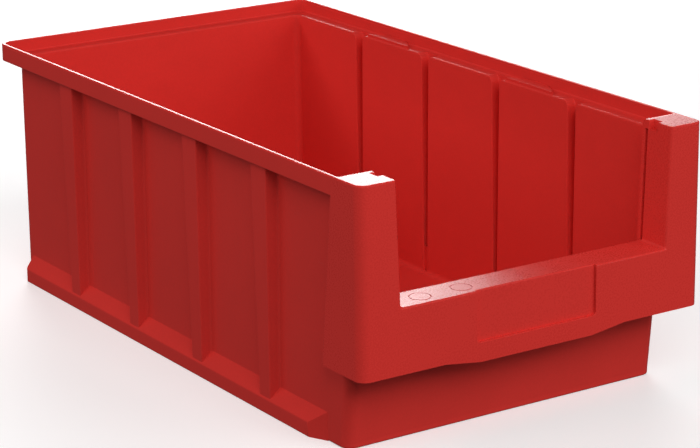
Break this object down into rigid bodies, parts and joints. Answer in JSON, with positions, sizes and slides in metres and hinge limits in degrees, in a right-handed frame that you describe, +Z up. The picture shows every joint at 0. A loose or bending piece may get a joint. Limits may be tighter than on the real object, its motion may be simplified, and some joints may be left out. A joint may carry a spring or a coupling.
{
  "type": "hanging parts bin",
  "caption": "Open-front hanging and stacking parts bin with hollow side ribs, stacking rim, base skirt, overhanging lip with label field, and rear hanging lip.",
  "frame": {"origin": "centre of the bounding box on the base plane", "axes": "+X to the right seen from the open front, +Y from the front face to the rear rim, +Z up"},
  "size_m": [0.2, 0.36, 0.135],
  "materials": {
    "bin_plastic": "satin"
  },
  "bodies": {
    "root": {"floor_panel": "bin_plastic", "rear_wall": "bin_plastic", "front_wall": "bin_plastic", "left_wall_1": "bin_plastic", "left_wall_2": "bin_plastic", "left_wall_3": "bin_plastic", "left_wall_4": "bin_plastic", "left_wall_5": "bin_plastic", "right_wall_1": "bin_plastic", "right_wall_2": "bin_plastic", "right_wall_3": "bin_plastic", "right_wall_4": "bin_plastic", "right_wall_5": "bin_plastic", "left_rib_1": "bin_plastic", "left_rib_2": "bin_plastic", "left_rib_3": "bin_plastic", "left_rib_4": "bin_plastic", "right_rib_1": "bin_plastic", "right_rib_2": "bin_plastic", "right_rib_3": "bin_plastic", "right_rib_4": "bin_plastic", "left_rim": "bin_plastic", "right_rim": "bin_plastic", "rear_rim": "bin_plastic", "hanging_lip": "bin_plastic", "left_skirt": "bin_plastic", "right_skirt": "bin_plastic", "left_post": "bin_plastic", "right_post": "bin_plastic", "left_cheek": "bin_plastic", "right_cheek": "bin_plastic", "front_lip": "bin_plastic", "apron": "bin_plastic", "label_panel": "bin_plastic"}
  },
  "joints": []
}
